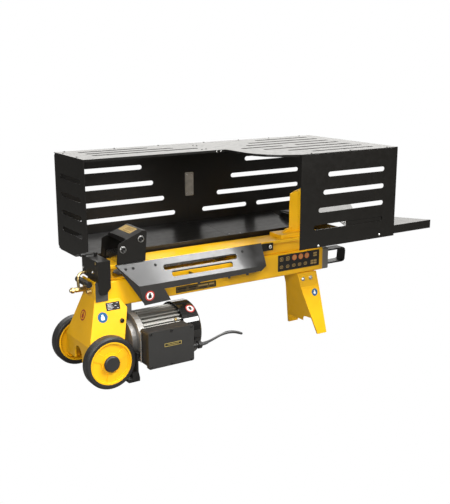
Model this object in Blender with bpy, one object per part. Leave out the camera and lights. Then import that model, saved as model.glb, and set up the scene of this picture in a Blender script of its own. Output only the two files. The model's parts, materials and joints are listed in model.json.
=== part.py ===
"""Horizontal electric log splitter with a sheet-steel safety cage.

Metres, +Z up. +X runs along the beam from the wheels towards the wedge, and -Y is the side the user
loads from. The dimensions below are counted from the ground straight under the wheel axle; the last
lines move everything so that the origin is the middle of the footprint.
Shapes are closed outlines extruded along an axis, turned profiles, and Booleans between them.
"""
import math

import bmesh
import bpy
from mathutils import Vector

for leftover in list(bpy.data.objects):
    bpy.data.objects.remove(leftover, do_unlink=True)

# ---- driving dimensions -------------------------------------------------------------------
GAP = 0.0003                    # clearance between pieces that touch
SHEET = 0.002                   # cage, tray and guard sheet
PLATE = 0.004                   # leg plate

WHEEL_R = 0.075
WHEEL_WIDTH = 0.032
WHEEL_INNER_Y = 0.097
RIM_R = 0.0615
HUB_CAP_R = 0.0235
AXLE_R = 0.008

BEAM_X0, BEAM_X1 = 0.0, 0.813
BEAM_HALF = 0.039
BEAM_Z0, BEAM_Z1 = 0.206, 0.281
BEAM_WALL = 0.004

RAIL_X0, RAIL_X1 = 0.046, 0.8
RAIL_HALF = 0.041
RAIL_Z0, RAIL_Z1 = 0.318, 0.328
WEB_OUT, WEB_IN = 0.026, 0.020
ROD_SLOT_X1 = 0.8               # right end of the slot that the crosshead tongue runs in
ROD_Z = (BEAM_Z0 + BEAM_Z1) / 2
BARREL_X0, BARREL_X1 = 0.008, 0.398
ROD_R = 0.013
BORE_R = 0.022
STROKE = 0.345

LEG_HALF = 0.041                # half width of both legs where they hold the beam
LEFT_BEND_Z, LEFT_FOLD_Z, LEFT_FOOT_Z = 0.238, 0.113, 0.055
LEFT_SLOPE, LEFT_SPLAY = 0.31, 0.34
RIGHT_BEND_Z = 0.157
RIGHT_FOOT_X, RIGHT_TOP_X, RIGHT_FOOT_HALF = 0.767, 0.709, 0.082

CAGE_X0, CAGE_X1 = 0.003, 0.960
CAGE_SEAM_X = 0.4625
CAGE_BACK, CAGE_LEFT_FRONT, CAGE_FRONT = 0.233, 0.018, -0.213
CAGE_FRONT_X0 = 0.579
CAGE_TOP, CAGE_FOOT = 0.620, 0.329
SLOT_ROWS = (0.555, 0.502, 0.449, 0.398)
SLOT_HALF = 0.0072

TRAY_SEAM_X, TRAY_FRONT = 0.505, 0.0575
TABLE_TOP, TABLE_LIP = 0.3685, 0.3415
TABLE_X0, TABLE_X1, TABLE_NOTCH_X = 0.790, 1.128, 0.990

WING_TOP = (-0.049, 0.3295)     # Y and Z of the guard wing's upper edge
WING_EDGE = (-0.083, 0.2668)    # and of its outer fold

FEED_Z = 0.303
LEVER_AT, LEVER_POST_R, LEVER_Z = (0.030, 0.022), 0.005, 0.3530

MOTOR_Y, MOTOR_Z = -0.048, 0.110
STATOR_R, FIN_R, FAN_COVER_R = 0.066, 0.0745, 0.0815
BOX_X0, BOX_X1 = 0.0885, 0.2335
BOX_Z0, BOX_Z1 = 0.0535, 0.1600
BOX_BACK, BOX_SPLIT, BOX_FRONT = -0.1265, -0.1655, -0.178
GEAR_PITCH_R, GEAR_TEETH = 0.012, 12

CENTRE_X = (TABLE_X1 - WHEEL_R) / 2
CENTRE_Y = (CAGE_BACK + CAGE_FRONT) / 2

CORD_R = 0.00375
COIL_R, COIL_TURNS = 0.041, 3
COIL_AT = (0.347, 0.158)
PLUG_AT = (0.262, 0.205)        # X of its tail's end, and Y
GLAND_Y, GLAND_Z = -0.147, 0.083

YELLOW, BLACK, GREY = (0.93, 0.62, 0.02), (0.015, 0.014, 0.013), (0.22, 0.22, 0.21)
STEEL, ALUMINIUM, RUBBER = (0.55, 0.55, 0.53), (0.62, 0.62, 0.6), (0.03, 0.03, 0.03)
BRASS = (0.65, 0.5, 0.22)


# ---- modelling helpers --------------------------------------------------------------------
def material(name, colour, roughness, metallic):
    made = bpy.data.materials.get(name) or bpy.data.materials.new(name)
    made.use_nodes = True
    shader = made.node_tree.nodes["Principled BSDF"]
    shader.inputs["Base Color"].default_value = (*colour, 1)
    shader.inputs["Roughness"].default_value = roughness
    shader.inputs["Metallic"].default_value = metallic
    return made


FINISH = {
    "yellow": material("yellow_paint", YELLOW, 0.4, 0.0),
    "black": material("black_paint", BLACK, 0.3, 0.0),
    "grey": material("cast_grey", GREY, 0.5, 0.6),
    "steel": material("steel", STEEL, 0.3, 1.0),
    "aluminium": material("aluminium", ALUMINIUM, 0.35, 1.0),
    "rubber": material("rubber", RUBBER, 0.6, 0.0),
    "plastic": material("black_plastic", (0.06, 0.06, 0.057), 0.5, 0.0),
    "brass": material("brass", BRASS, 0.3, 1.0),
}


def add(name, work, finish):
    """Puts a finished bmesh in the scene as one named object."""
    bmesh.ops.recalc_face_normals(work, faces=work.faces)
    mesh = bpy.data.meshes.new(name)
    work.to_mesh(mesh)
    work.free()
    mesh.materials.append(FINISH[finish])
    made = bpy.data.objects.new(name, mesh)
    bpy.context.collection.objects.link(made)
    return made


def point_on(axis, along, a, b):
    """The 3-D point at `along` on an axis, with a and b on the other two axes in X, Y, Z order."""
    return {"X": (along, a, b), "Y": (a, along, b), "Z": (a, b, along)}[axis]


def prism(name, axis, outline, low, high, finish="black"):
    """A closed outline extruded along an axis."""
    work = bmesh.new()
    face = work.faces.new([work.verts.new(point_on(axis, low, a, b)) for a, b in outline])
    grown = bmesh.ops.extrude_face_region(work, geom=[face])["geom"]
    rise = Vector(point_on(axis, high - low, 0, 0))
    for item in grown:
        if isinstance(item, bmesh.types.BMVert):
            item.co += rise
    return add(name, work, finish)


def block(name, low, high, finish="black"):
    outline = [(low[0], low[1]), (high[0], low[1]), (high[0], high[1]), (low[0], high[1])]
    return prism(name, "Z", outline, low[2], high[2], finish)


def turned(name, axis, centre, profile, segments=24, finish="steel"):
    """Turns (along, radius) points about an axis; where a radius is 0 the piece is closed by a flat end."""
    work = bmesh.new()
    angles = [2 * math.pi * i / segments for i in range(segments)]
    rings = []
    for along, radius in profile:
        ring = [work.verts.new(point_on(axis, along, centre[0] + radius * math.cos(t),
                                        centre[1] + radius * math.sin(t))) for t in angles] if radius else None
        rings.append(ring)
    for one, two in zip(rings, rings[1:] + rings[:1]):
        if one and two:
            for i in range(segments):
                j = (i + 1) % segments
                work.faces.new((one[i], one[j], two[j], two[i]))
        elif one or two:
            work.faces.new(one or two)
    made = add(name, work, finish)
    made.data.shade_smooth()
    made.data.set_sharp_from_angle(angle=math.radians(35))
    return made


def rod(name, axis, centre, low, high, radius, segments=24, finish="steel"):
    return turned(name, axis, centre, [(low, 0), (low, radius), (high, radius), (high, 0)], segments, finish)


def tube(name, axis, centre, low, high, outer, inner, segments=24, finish="steel"):
    profile = [(low, inner), (low, outer), (high, outer), (high, inner)]
    return turned(name, axis, centre, profile, segments, finish)


def arc(centre, radius, start, end, steps):
    """Points on an arc, in degrees, both ends included."""
    angles = [math.radians(start + (end - start) * i / steps) for i in range(steps + 1)]
    return [(centre[0] + radius * math.cos(t), centre[1] + radius * math.sin(t)) for t in angles]


def slot_outline(start, end, level, half=SLOT_HALF, steps=5):
    """A long slot with round ends, running along the first coordinate."""
    return arc((start + half, level), half, 90, 270, steps) + arc((end - half, level), half, -90, 90, steps)


def rounded(low, high, radius, steps=4):
    """A rectangle outline with round corners."""
    (x0, y0), (x1, y1) = low, high
    return (arc((x1 - radius, y1 - radius), radius, 0, 90, steps)
            + arc((x0 + radius, y1 - radius), radius, 90, 180, steps)
            + arc((x0 + radius, y0 + radius), radius, 180, 270, steps)
            + arc((x1 - radius, y0 + radius), radius, 270, 360, steps))


def bent_sheet(path, thickness):
    """The closed outline of a sheet bent along a 2-D path, thickened to the left of it."""
    offset = []
    for i, here in enumerate(path):
        before = Vector(path[max(i - 1, 0)])
        after = Vector(path[min(i + 1, len(path) - 1)])
        here = Vector(here)
        one = (here - before).normalized() if i else (after - here).normalized()
        two = (after - here).normalized() if i < len(path) - 1 else one
        side_one, side_two = Vector((-one.y, one.x)), Vector((-two.y, two.x))
        middle = (side_one + side_two).normalized()
        offset.append(tuple(here + middle * thickness / middle.dot(side_one)))
    return list(path) + offset[::-1]


def slab(name, corners, thickness, finish="black"):
    """A flat plate from its 3-D corners, thickened along the corners' right-hand normal."""
    points = [Vector(corner) for corner in corners]
    normal = (points[1] - points[0]).cross(points[2] - points[0]).normalized()
    work = bmesh.new()
    face = work.faces.new([work.verts.new(point) for point in points])
    grown = bmesh.ops.extrude_face_region(work, geom=[face])["geom"]
    for item in grown:
        if isinstance(item, bmesh.types.BMVert):
            item.co += normal * thickness
    return add(name, work, finish)


def combine(target, tools, operation):
    """Cuts, joins or intersects target with each tool, which is then only a hidden guide."""
    for tool in tools:
        boolean = target.modifiers.new(operation.lower(), "BOOLEAN")
        boolean.operation = operation
        boolean.object = tool
        tool.hide_render = True
        tool.display_type = "WIRE"
    return target


def cut(target, *tools):
    return combine(target, tools, "DIFFERENCE")


def join(target, *tools):
    return combine(target, tools, "UNION")


def common(target, *tools):
    return combine(target, tools, "INTERSECT")


def slots(axis, rows, low, high):
    """Cutters for slots: each row is (level, start, end) across a panel that faces the axis."""
    made = []
    for level, start, end in rows:
        made.append(prism("cut_slot", axis, slot_outline(start, end, level), low, high))
    return made


# ---- beam, rail and hydraulic cylinder ----------------------------------------------------
def beam():
    profile = rounded((-BEAM_HALF, BEAM_Z0), (BEAM_HALF, BEAM_Z1), 0.005, 3)
    tank = prism("beam_tank", "X", profile, BEAM_X0, BEAM_X1, "yellow")
    inside = rounded((-BEAM_HALF + BEAM_WALL, BEAM_Z0 + BEAM_WALL), (BEAM_HALF - BEAM_WALL, BEAM_Z1 - BEAM_WALL),
                     0.003, 2)
    cut(tank, prism("cut_beam", "X", inside, BEAM_X0 - 0.01, BEAM_X1 + 0.01),
        block("cut_tongue_slot", (0.408, -0.011, BEAM_Z1 - 0.01), (ROD_SLOT_X1, 0.011, BEAM_Z1 + 0.01)))

    cap = prism("beam_end_cap", "X", rounded((-0.0385, 0.2065), (0.0385, 0.2785), 0.004, 2),
                BEAM_X1 + GAP, 0.838, "grey")
    join(cap, prism("cap_spigot", "X", rounded((-0.0340, 0.2110), (0.0340, 0.2760), 0.004, 2),
                    BEAM_X1 - 0.008, BEAM_X1 + 0.003))

    flange = block("guide_rail", (RAIL_X0, -RAIL_HALF, RAIL_Z0), (RAIL_X1, RAIL_HALF, RAIL_Z1), "yellow")
    for side in (-1, 1):
        low, high = sorted((side * WEB_IN, side * WEB_OUT))
        join(flange, block("rail_web", (RAIL_X0, low, BEAM_Z1 + GAP), (RAIL_X1, high, RAIL_Z0 + 0.002)))
    long_slot = slot_outline(0.058, 0.545, 0.2985, 0.0125)
    cut(flange, prism("cut_rail_slot", "Y", long_slot, -0.06, 0.06))

    tube("cylinder_barrel", "X", (0, ROD_Z), BARREL_X0, BARREL_X1, 0.0275, BORE_R, 24, "steel")
    plug = prism("cylinder_head", "X", rounded((-0.0345, 0.2106), (0.0345, 0.2764), 0.004, 2),
                 BARREL_X1 + GAP, 0.4075, "steel")
    cut(plug, rod("cut_gland_bore", "X", (0, ROD_Z), 0.39, 0.42, ROD_R + 0.0004))


def end_block():
    """The aluminium valve housing that closes the beam's left end, above the leg's web."""
    top = block("valve_block", (0.0065, -0.030, BEAM_Z1 + GAP), (0.043, 0.030, 0.338), "aluminium")
    cut(top, rod("cut_spool_bore", "Y", (0.022, 0.318), -0.04, 0.04, 0.0078, 20),
        rod("cut_feed_bore", "X", (0.022, FEED_Z), 0.0, 0.024, 0.0050, 16),
        rod("cut_post_bore", "Z", LEVER_AT, 0.3290, 0.35, LEVER_POST_R + 0.0002, 16))


# ---- legs, axle and wheels ----------------------------------------------------------------
def leg_shell(name, levels, direction, outline, arch):
    """A folded leg: a web facing away from `direction`, with a flange each side.

    levels lists (web X, half width, Z) from the top down; outline is its side view in X and Z.
    """
    def tapered(label, inset, reach, lift):
        work = bmesh.new()
        rings = []
        for index, (x, half, z) in enumerate(levels):
            end = lift if index == 0 else -lift if index == len(levels) - 1 else 0
            near, far = x + direction * inset, x + direction * reach
            width = half - inset
            corners = ((near, -width), (far, -width), (far, width), (near, width))
            rings.append([work.verts.new((a, b, z + end)) for a, b in corners])
        work.faces.new(rings[0])
        work.faces.new(rings[-1])
        for one, two in zip(rings, rings[1:]):
            for i in range(4):
                work.faces.new((one[i], one[(i + 1) % 4], two[(i + 1) % 4], two[i]))
        return add(label, work, "yellow")

    leg = tapered(name, 0, 0.16, 0)
    common(leg, prism("guide_leg_side", "Y", outline, -0.2, 0.2))
    cut(leg, tapered("cut_leg_inside", PLATE, 0.2, 0.02), prism("cut_leg_arch", "X", arch, -0.2, 1.0))
    return leg


def left_leg():
    def web_x(z):
        return -0.005 - LEFT_SLOPE * max(0, LEFT_BEND_Z - max(z, LEFT_FOLD_Z))

    def half(z):
        return LEG_HALF + LEFT_SPLAY * max(0, LEFT_BEND_Z - max(z, LEFT_FOLD_Z))

    top = 0.2875
    levels = [(web_x(z), half(z), z) for z in (top, LEFT_BEND_Z, LEFT_FOLD_Z, LEFT_FOOT_Z)]
    outline = [(-0.08, top + 0.01), (BEAM_X0 - GAP, top + 0.01), (BEAM_X0 - GAP, 0.234), (0.070, 0.230),
               (0.088, 0.203), (0.063, 0.115), (0.045, 0.078), (0.035, LEFT_FOOT_Z), (-0.08, LEFT_FOOT_Z)]
    arch = [(-0.026, 0.0), (0.026, 0.0), *arc((0, 0.072), 0.024, 0, 180, 10)]
    leg = leg_shell("left_leg", levels, 1, outline, arch)
    cut(leg, rod("cut_axle_bore", "Y", (0, WHEEL_R), -0.1, 0.1, AXLE_R + 0.0003, 20),
        block("cut_beam_room", (BEAM_X0 - GAP, -BEAM_HALF - GAP, 0.2057), (0.1, BEAM_HALF + GAP, 0.25)),
        rod("cut_leg_hole", "Y", (0.017, 0.136), -0.1, 0.0, 0.0035, 12))


def right_leg():
    slope = (RIGHT_FOOT_X - RIGHT_TOP_X) / 0.206
    levels = [(RIGHT_TOP_X, LEG_HALF, 0.2055), (RIGHT_FOOT_X - slope * RIGHT_BEND_Z, LEG_HALF, RIGHT_BEND_Z),
              (RIGHT_FOOT_X, RIGHT_FOOT_HALF, 0.0)]
    outline = [(0.69, 0.22), (0.786, 0.22), (0.786, 0.206), (0.799, 0.155), (0.8044, 0.0), (0.69, 0.0)]
    arch = [(-0.0780, -0.010), (-0.012, -0.010), (-0.014, 0.026), *arc((-0.034, 0.033), 0.018, 10, 95, 5),
            (-0.0620, 0.0525)]
    leg = leg_shell("right_leg", levels, 1, outline, arch)
    join(leg, block("leg_saddle", (0.7165, -0.0380, 0.1990), (0.7820, 0.0380, 0.2055)))
    return leg


def wheels():
    rod("wheel_axle", "Y", (0, WHEEL_R), -0.1315, 0.1315, AXLE_R, 20, "steel")
    for side, label in ((-1, "front"), (1, "rear")):
        inner, outer = side * WHEEL_INNER_Y, side * (WHEEL_INNER_Y + WHEEL_WIDTH)
        tyre = [(inner, RIM_R + GAP), (inner, 0.0705), (inner + side * 0.005, WHEEL_R),
                (outer - side * 0.005, WHEEL_R), (outer, 0.0705), (outer, RIM_R + GAP)]
        turned(label + "_tyre", "Y", (0, WHEEL_R), tyre, 48, "rubber")
        bore = AXLE_R + 0.0004
        rim = [(inner + side * 0.001, RIM_R), (outer - side * 0.001, RIM_R), (outer - side * 0.001, 0.0575),
               (outer - side * 0.006, 0.056), (outer - side * 0.006, 0.024), (outer - side * 0.001, 0.0225),
               (outer - side * 0.001, bore), (inner + side * 0.003, bore), (inner + side * 0.003, 0.019),
               (outer - side * 0.011, 0.021), (outer - side * 0.011, 0.055), (inner + side * 0.001, 0.057)]
        wheel = turned(label + "_wheel", "Y", (0, WHEEL_R), rim, 48, "yellow")
        pockets = []
        for turn in (90, 210, 330):
            ring = arc((0, WHEEL_R), 0.0533, turn - 46.3, turn + 46.3, 8)
            ring += arc((0, WHEEL_R), 0.0287, turn + 39.1, turn - 39.1, 6)
            low, high = sorted((outer - side * 0.0085, outer))
            pockets.append(prism("cut_wheel_pocket", "Y", ring, low, high))
        cut(wheel, *pockets)
        cap = [(outer - side * (0.001 - GAP), 0.0135), (outer - side * (0.001 - GAP), HUB_CAP_R),
               (outer + side * 0.0035, HUB_CAP_R - 0.0005), (outer + side * 0.006, HUB_CAP_R - 0.004),
               (outer + side * 0.006, 0), (outer + side * 0.0035, 0), (outer + side * 0.0035, 0.0135)]
        turned(label + "_hub_cap", "Y", (0, WHEEL_R), cap, 32, "plastic")


# ---- pusher and what drives it ------------------------------------------------------------
def pusher():
    half = 0.0545
    foot = 0.3315
    side = [(0.060, foot), (0.149, foot), (0.155, 0.413), (0.151, 0.419), (0.143, 0.4195),
            (0.0715, 0.391), (0.065, 0.3865)]
    hood = prism("pusher_hood", "Y", side, -half, half, "black")
    inner = [(0.04, foot - 0.01), (0.1480, foot - 0.01), (0.1520, 0.4125), (0.150, 0.4158), (0.1435, 0.4164),
             (0.0715, 0.3883), (0.04, 0.3760)]
    cut(hood, prism("cut_hood", "Y", inner, -half + 0.003, half - 0.003),
        block("cut_hood_back", (0.05, -half + 0.003, 0.37), (0.0865, half - 0.003, 0.43)))
    lip = prism("hood_lip", "Y", [(0.083, 0.3925), (0.0890, 0.3945), (0.0905, 0.4018), (0.0880, 0.4028)],
                -0.050, 0.0525)
    join(hood, lip)

    ram = block("pusher_block", (0.075, -0.047, RAIL_Z1 + 0.0008), (0.1472, 0.047, 0.352), "steel")
    for edge in (-1, 1):
        low, high = sorted((edge * (RAIL_HALF + 0.0008), edge * 0.047))
        join(ram, block("ram_cheek", (0.075, low, 0.3080), (0.1472, high, 0.34)))
        low, high = sorted((edge * (WEB_OUT + 0.0022), edge * 0.0465))
        join(ram, block("ram_gib", (0.075, low, 0.3075), (0.1472, high, RAIL_Z0 - 0.0008)))
    post = block("ram_post", (0.136, -0.045, 0.345), (0.1472, 0.045, 0.405))
    join(ram, post)
    keys = block("ram_key", (0.092, -0.044, 0.2915), (0.128, 0.044, 0.3095))
    join(ram, keys)
    cut(ram, block("cut_key_room", (0.088, -0.0155, 0.28), (0.132, 0.0155, 0.3172)))

    bar = block("drag_bar", (0.080, -0.0150, 0.2905), (0.4475, 0.0150, 0.3085), "steel")
    join(bar, block("drag_tongue", (0.4225, -0.0090, 0.2715), (0.4475, 0.0090, 0.300)))
    join(bar, block("crosshead", (0.4205, -0.026, ROD_Z - 0.026), (0.4495, 0.026, ROD_Z + 0.0285)))
    cut(bar, rod("cut_rod_socket", "X", (0, ROD_Z), 0.41, 0.436, ROD_R + 0.0003))
    slim = ROD_R
    turned("piston_rod", "X", (0, ROD_Z),
           [(0.012, 0), (0.012, BORE_R - 0.0005), (0.034, BORE_R - 0.0005), (0.034, slim), (0.4355, slim),
            (0.4355, 0)], 24, "steel")


def wedge():
    base = block("splitting_wedge", (0.647, -0.031, RAIL_Z1 + GAP), (0.795, 0.031, 0.340), "yellow")
    blade = [(0.701, 0.0), (0.729, -0.0085), (0.757, -0.0085), (0.757, 0.0085), (0.729, 0.0085)]
    upright = prism("wedge_blade", "Z", blade, 0.338, 0.485)
    side_view = [(0.69, 0.33), (0.79, 0.33), (0.79, 0.4860), (0.757, 0.4785), (0.703, 0.4655), (0.701, 0.42)]
    common(upright, prism("guide_blade", "Y", side_view, -0.05, 0.05))
    gusset = prism("wedge_gusset", "Y", [(0.668, 0.338), (0.712, 0.338), (0.712, 0.356), (0.690, 0.350)],
                   -0.004, 0.004)
    wings = prism("wedge_spread", "X", [(-0.029, 0.338), (0.029, 0.338), (0.004, 0.400), (-0.004, 0.400)],
                  0.748, 0.757)
    join(base, upright, gusset, wings)


# ---- cage, trays and outfeed table --------------------------------------------------------
def cage():
    rows = [(z, 0.046, 0.192) for z in SLOT_ROWS]
    outline = [(0.012, 0.3625), (0.100, 0.331), (0.108, CAGE_FOOT), (0.216, CAGE_FOOT), (CAGE_BACK, 0.340),
               (CAGE_BACK, 0.612), (0.227, 0.6175), (CAGE_LEFT_FRONT, 0.6175)]
    end = prism("cage_left_end", "X", outline, CAGE_X0, CAGE_X0 + SHEET)
    cut(end, *slots("X", [(z, a, b) for z, a, b in rows], CAGE_X0 - 0.01, CAGE_X0 + 0.01))

    inner = CAGE_X0 + SHEET + GAP
    lip = CAGE_TOP - SHEET - GAP
    left = block("cage_back_left", (inner, CAGE_BACK - SHEET, CAGE_FOOT), (CAGE_SEAM_X - GAP, CAGE_BACK, lip))
    ends = (0.2907, 0.3304, 0.3694, 0.4094)
    cut(left, *slots("Y", [(z, 0.055, x) for z, x in zip(SLOT_ROWS, ends)], 0.2, 0.26))
    right = block("cage_back_right", (CAGE_SEAM_X, CAGE_BACK - SHEET, CAGE_FOOT), (CAGE_X1, CAGE_BACK, lip))
    starts = (0.6843, 0.6272, 0.5708, 0.734)
    rows = [(z, x, 0.915) for z, x in zip(SLOT_ROWS, starts)] + [(SLOT_ROWS[3], 0.5131, 0.6917)]
    cut(right, *slots("Y", rows, 0.2, 0.26))

    joint = prism("back_joint_plate", "Y", rounded((0.447, 0.4485), (0.478, 0.5255), 0.003, 2),
                  CAGE_BACK - SHEET - GAP - 0.0025, CAGE_BACK - SHEET - GAP, "steel")
    cut(joint, *[rod("cut_joint", "Y", (x, z), 0.22, 0.24, 0.002, 8)
                 for x in (0.453, 0.472) for z in (0.456, 0.518)])

    cover = block("cage_top_left", (CAGE_X0, CAGE_LEFT_FRONT, CAGE_TOP - SHEET),
                  (CAGE_SEAM_X - GAP, CAGE_BACK, CAGE_TOP))
    long_slots = ((0.183, 0.057, 0.287), (0.137, 0.062, 0.3515), (0.091, 0.060, 0.4136))
    cut(cover, *slots("Z", long_slots, 0.6, 0.64))
    join(cover, block("top_left_lip", (CAGE_X0 + 0.004, CAGE_LEFT_FRONT, CAGE_TOP - 0.007),
                      (CAGE_SEAM_X - GAP, CAGE_LEFT_FRONT + SHEET, CAGE_TOP - 0.001)))

    corner = [(0.470, -0.080), (0.476, -0.118), (0.494, -0.155), (0.525, -0.187), (0.579, CAGE_FRONT)]
    outline = [(CAGE_SEAM_X, CAGE_BACK), (CAGE_SEAM_X, 0.018), (0.469, 0.008), *corner,
               (CAGE_X1, CAGE_FRONT), (CAGE_X1, CAGE_BACK)]
    lid = prism("cage_top_right", "Z", outline, CAGE_TOP - SHEET, CAGE_TOP)
    rows = ((0.178, 0.689, 0.908), (0.121, 0.6216, 0.908), (0.064, 0.5747, 0.906), (0.007, 0.517, 0.675),
            (0.007, 0.7244, 0.904), (-0.050, 0.561, 0.907), (-0.107, 0.610, 0.903), (-0.162, 0.660, 0.902))
    cut(lid, *slots("Z", rows, 0.6, 0.64))
    edge = [(0.4645, 0.016), (0.469, 0.008), *corner[:-1], (0.5735, -0.2104)]
    join(lid, prism("top_right_lip", "Z", bent_sheet(edge, SHEET), CAGE_TOP - 0.007, CAGE_TOP - 0.001))

    front = block("cage_front", (CAGE_FRONT_X0, CAGE_FRONT, 0.336), (CAGE_X1, CAGE_FRONT + SHEET, lip))
    starts = (0.681, 0.664, 0.6475, 0.6305)
    cut(front, *slots("Y", [(z, x, 0.9075) for z, x in zip(SLOT_ROWS, starts)], -0.23, -0.19))


def trays():
    """The curved floor between the rail and the cage's back, in two sheets on brackets from the beam."""
    rise = [(TRAY_FRONT, 0.3020), (TRAY_FRONT, 0.3395), (0.078, 0.3400)]
    rise += [(0.078 + 0.1515 * t, 0.3400 + 0.0190 * t ** 1.6) for t in (0.2, 0.4, 0.6, 0.8, 1.0)]
    profile = bent_sheet(rise, SHEET)
    foot = bent_sheet([(0.0285, BEAM_Z1 + GAP), (TRAY_FRONT + 0.0025, BEAM_Z1 + GAP), (TRAY_FRONT + 0.0025, 0.3260)],
                      0.0035)
    for name, low, high in (("rear_tray_left", 0.0060, TRAY_SEAM_X - GAP), ("rear_tray_right", TRAY_SEAM_X, 0.798)):
        tray = prism(name, "X", profile, low, high)
        for x in (low + 0.09, high - 0.03):
            join(tray, prism("tray_bracket", "X", foot, x - 0.012, x + 0.012))


def table():
    half = -CAGE_FRONT - SHEET - GAP
    outline = [(TABLE_X0, -half), (TABLE_X1, -half), (TABLE_NOTCH_X, 0), (TABLE_X1, half - 0.02),
               (0.806, half - 0.02), (0.868, 0.045), (0.868, -0.045)]
    top = prism("outfeed_table", "Z", outline, TABLE_TOP - SHEET, TABLE_TOP)
    join(top, block("table_front_lip", (0.620, -half, TABLE_LIP), (TABLE_X1, -half + SHEET, TABLE_TOP - 0.001)),
         block("table_rear_lip", (0.806, half - 0.02 - SHEET, TABLE_LIP), (TABLE_X1, half - 0.02, TABLE_TOP - 0.001)),
         block("table_upstand", (0.759, -half, TABLE_TOP - 0.002), (0.936, -half + SHEET, 0.4140)))
    bar = block("table_crossbar", (0.803, -0.200, 0.3405), (0.833, 0.180, 0.3445))
    join(bar, block("crossbar_web", (0.803, -0.200, 0.3405), (0.807, 0.180, TABLE_TOP - SHEET - GAP)),
         block("crossbar_post", (0.803, -0.030, BEAM_Z1 + GAP), (0.8127, 0.030, 0.343)))
    cut(bar, block("cut_post", (0.79, -0.012, 0.27), (0.82, 0.012, 0.305)))

    strap = bent_sheet([(0.8385, 0.2140), (0.9170, 0.2140), (0.9250, 0.2160), (0.9290, 0.2220), (0.9310, 0.2500),
                        (0.9290, 0.2590), (0.9220, 0.2640), (0.8385, 0.2640)], 0.005)
    prism("lift_handle", "Y", strap, -0.0190, 0.0190)


def wing():
    """The sloped guard on the loading side, its lip, and the apron that covers the motor."""
    path = [WING_TOP, WING_EDGE, (WING_EDGE[0], 0.19)]
    guard = prism("front_wing", "X", bent_sheet(path, SHEET), 0.04, 0.57)
    outline = [(0.055, 0.34), (0.056, 0.3295), (0.1135, 0.2668), (0.1285, 0.2085), (0.2137, 0.2115),
               (0.1935, 0.2480), (0.534, 0.2505), (0.552, 0.2640), (0.5565, 0.34)]
    common(guard, prism("guide_wing", "Y", outline, -0.2, 0.1))
    levels = ((0.0624, 0.3042, 0.2025, 0.4555), (0.0731, 0.2855, 0.2242, 0.4348))
    for depth, level, start, end in levels:
        cut(guard, prism("cut_wing_slot", "Z", slot_outline(start, end, -depth, 0.0040), 0.24, 0.33))
    for x in (0.110, 0.300, 0.500):
        rib = [(-BEAM_HALF - GAP, 0.236), (-BEAM_HALF - GAP, 0.274), (-0.0775, 0.2738), (-0.0805, 0.2668),
               (-0.0805, 0.256)]
        if x < 0.12:
            continue
        join(guard, prism("wing_rib", "X", rib, x, x + 0.003))
    flap = slab("wing_side", [(0.0570, -0.0497, 0.3270), (0.1150, -0.0825, 0.2655), (0.1300, -0.0825, 0.2090),
                              (0.0705, -0.0545, 0.3070)], 0.0018)
    join(guard, flap)

    tab = block("wing_bracket", (0.5600, -0.0485, 0.3010), (0.6030, -0.0455, 0.3255))
    join(tab, block("bracket_foot", (0.5750, -0.0470, 0.3010), (0.5950, -0.0263, 0.3040)),
         rod("bracket_bolt", "Y", (0.5880, 0.3145), -0.0530, -0.0470, 0.0045, 12))


def lever_group():
    """The guard over the valve housing, and the lever that turns on top of it to slide the spool."""
    half, low, high = 0.050, 0.2885, 0.3475
    sheet = [(-0.059, 0.2515), (-0.059, high), (half, high), (half, 0.3120)]
    guard = prism("lever_guard", "X", bent_sheet(sheet, -SHEET), 0.0, 0.0375)
    face = [(0.0, 0.2640), (0.0, 0.36), (0.0375, 0.36), (0.0375, 0.2690), (0.0230, 0.2515), (0.0090, 0.2500),
            (0.0020, 0.2550)]
    common(guard, prism("guide_guard", "Y", face, -0.08, 0.08))
    join(guard, prism("guard_end", "X", [(-0.0585, low), (0.049, low + 0.004), (0.049, high - 0.001),
                                         (-0.0585, high - 0.001)], 0.0, SHEET))
    cut(guard, rod("cut_pipe_room", "X", (0.022, FEED_Z), -0.01, 0.01, 0.0055, 16),
        rod("cut_post_room", "Z", LEVER_AT, 0.34, 0.35, LEVER_POST_R + 0.001, 16))
    arm = [(-0.0475, 0.2870), (-0.0475, 0.2300), (-0.0450, 0.2300), (-0.0450, 0.2870)]
    prism("lever_bracket", "X", arm, -0.0040, 0.0330, "grey")
    rod("valve_sleeve", "Y", (-0.0160, 0.2790), -0.0340, 0.0480, 0.0088, 20, "plastic")

    turned("valve_spool", "Y", (0.022, 0.318),
           [(-0.0400, 0), (-0.0400, 0.0074), (-0.0180, 0.0074), (-0.0160, 0.0045), (-0.0060, 0.0045),
            (-0.0040, 0.0074), (0.0140, 0.0074), (0.0160, 0.0045), (0.0330, 0.0045), (0.0330, 0)], 16, "steel")
    lever = turned("control_lever", "Z", LEVER_AT,
                   [(0.3300, 0), (0.3300, LEVER_POST_R), (0.3500, LEVER_POST_R), (0.3500, 0.0062), (0.3560, 0.0062),
                    (0.3560, 0)], 16, "steel")
    join(lever, rod("lever_arm", "X", (LEVER_AT[1], LEVER_Z), -0.0300, LEVER_AT[0], 0.0028, 12))
    tube("lever_knob", "X", (LEVER_AT[1], LEVER_Z), -0.0160, -0.0005, 0.0053, 0.0031, 16, "plastic")


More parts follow.
